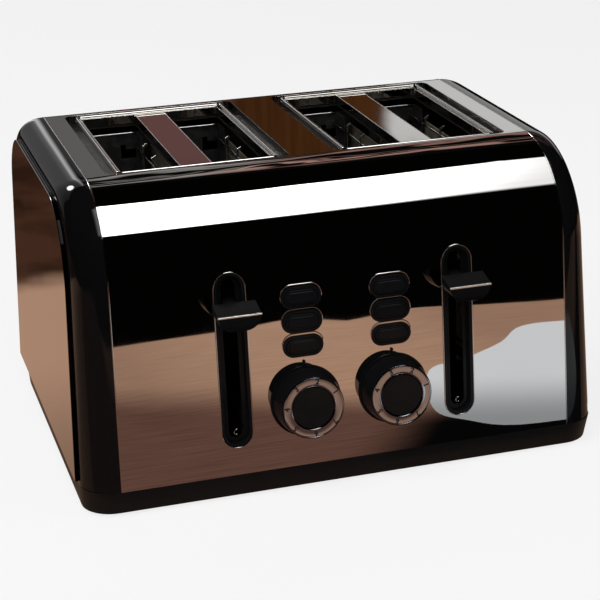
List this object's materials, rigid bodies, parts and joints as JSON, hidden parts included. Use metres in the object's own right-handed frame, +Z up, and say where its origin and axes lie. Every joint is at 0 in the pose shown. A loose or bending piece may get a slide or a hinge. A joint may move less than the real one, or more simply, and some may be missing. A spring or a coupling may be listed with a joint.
{
  "type": "pop up toaster",
  "caption": "Long-bodied four-slot toaster with a mirror-polished wrap, glossy black end caps, two levers, two browning dials and two columns of oval push buttons.",
  "frame": {"origin": "middle of the bounding box, at the bottom of the feet", "axes": "+X to the right as seen from the front, the front with the levers faces -Y, +Z up"},
  "size_m": [0.3308, 0.2591, 0.189],
  "materials": {
    "mirror_steel": "polished dark mirror sheet",
    "mirror_panel": "polished mirror plate",
    "bright_frame": "polished pressed frame",
    "dial_mirror": "polished",
    "gloss_black": "gloss",
    "black_plastic": "fine satin",
    "control_black": "satin gloss",
    "rubber": "matt",
    "steel": "drawn",
    "dark_steel": "dull",
    "galvanised": "plated",
    "mica": "mica board with ribbon windings",
    "copper": "enamelled winding",
    "board_green": "solder resist",
    "tray_steel": "dull"
  },
  "bodies": {
    "body": {"base": "black_plastic", "feet": "rubber", "base_screws": "steel", "wrap_front": "mirror_steel", "wrap_top": "mirror_steel", "wrap_back": "mirror_steel", "end_cap_left": "gloss_black", "end_cap_right": "gloss_black", "side_panel_left": "mirror_panel", "side_panel_right": "mirror_panel", "slot_frame_left": "bright_frame", "slot_frame_right": "bright_frame", "slot_pan_left": "dark_steel", "slot_pan_right": "dark_steel", "front_bulkhead": "galvanised", "rear_bulkhead": "galvanised", "heater_left_outer": "mica", "heater_left_middle": "mica", "heater_left_inner": "mica", "heater_right_inner": "mica", "heater_right_middle": "mica", "heater_right_outer": "mica", "bread_guards_left": "steel", "bread_guards_right": "steel", "guide_rod_left": "steel", "guide_rod_right": "steel", "lift_spring_left": "steel", "lift_spring_right": "steel", "track_insert_left": "control_black", "track_insert_right": "control_black", "latch_magnet_left": "copper", "latch_magnet_right": "copper", "control_board_left": "board_green", "control_board_right": "board_green", "button_guide_left": "control_black", "button_guide_right": "control_black", "dial_bezel_left": "control_black", "dial_bezel_right": "control_black", "dial_pot_left": "steel", "dial_pot_right": "steel", "cord_inlet": "black_plastic"},
    "lift_left": {"carriage_left": "galvanised", "lever_left": "control_black"},
    "dial_left": {"dial_shaft_left": "steel", "dial_knob_left": "control_black", "dial_ring_left": "dial_mirror"},
    "button_left_1": {"button_left_1": "control_black"},
    "button_left_2": {"button_left_2": "control_black"},
    "button_left_3": {"button_left_3": "control_black"},
    "tray_left": {"crumb_tray_left": "tray_steel"},
    "lift_right": {"carriage_right": "galvanised", "lever_right": "control_black"},
    "dial_right": {"dial_shaft_right": "steel", "dial_knob_right": "control_black", "dial_ring_right": "dial_mirror"},
    "button_right_1": {"button_right_1": "control_black"},
    "button_right_2": {"button_right_2": "control_black"},
    "button_right_3": {"button_right_3": "control_black"},
    "tray_right": {"crumb_tray_right": "tray_steel"}
  },
  "joints": [
    {"name": "lift_left", "type": "slide", "parent": "body", "child": "lift_left", "axis": [0, 0, -1], "range_m": [-0.01, 0.06], "stiffness_N_per_m": 100, "springref_m": -0.0075, "deforming": ["lift_spring_left"]},
    {"name": "lift_right", "type": "slide", "parent": "body", "child": "lift_right", "axis": [0, 0, -1], "range_m": [-0.01, 0.06], "stiffness_N_per_m": 100, "springref_m": -0.0075, "deforming": ["lift_spring_right"]},
    {"name": "dial_left", "type": "hinge", "parent": "body", "child": "dial_left", "pos_m": [-0.0274, -0.11209, 0.0573], "axis": [0, -0.9962, 0.0872], "range_deg": [-231.5, 59.5]},
    {"name": "dial_right", "type": "hinge", "parent": "body", "child": "dial_right", "pos_m": [0.0274, -0.11209, 0.0573], "axis": [0, -0.9962, 0.0872], "range_deg": [-216.5, 74.5]},
    {"name": "button_left_1", "type": "slide", "parent": "body", "child": "button_left_1", "axis": [0, 0.9962, -0.0872], "range_m": [0, 0.0025], "stiffness_N_per_m": 300, "springref_m": -0.002},
    {"name": "button_left_2", "type": "slide", "parent": "body", "child": "button_left_2", "axis": [0, 0.9962, -0.0872], "range_m": [0, 0.0025], "stiffness_N_per_m": 300, "springref_m": -0.002},
    {"name": "button_left_3", "type": "slide", "parent": "body", "child": "button_left_3", "axis": [0, 0.9962, -0.0872], "range_m": [0, 0.0025], "stiffness_N_per_m": 300, "springref_m": -0.002},
    {"name": "button_right_1", "type": "slide", "parent": "body", "child": "button_right_1", "axis": [0, 0.9962, -0.0872], "range_m": [0, 0.0025], "stiffness_N_per_m": 300, "springref_m": -0.002},
    {"name": "button_right_2", "type": "slide", "parent": "body", "child": "button_right_2", "axis": [0, 0.9962, -0.0872], "range_m": [0, 0.0025], "stiffness_N_per_m": 300, "springref_m": -0.002},
    {"name": "button_right_3", "type": "slide", "parent": "body", "child": "button_right_3", "axis": [0, 0.9962, -0.0872], "range_m": [0, 0.0025], "stiffness_N_per_m": 300, "springref_m": -0.002},
    {"name": "tray_left", "type": "slide", "parent": "body", "child": "tray_left", "axis": [0, 1, 0], "range_m": [0, 0.2]},
    {"name": "tray_right", "type": "slide", "parent": "body", "child": "tray_right", "axis": [0, 1, 0], "range_m": [0, 0.2]}
  ]
}
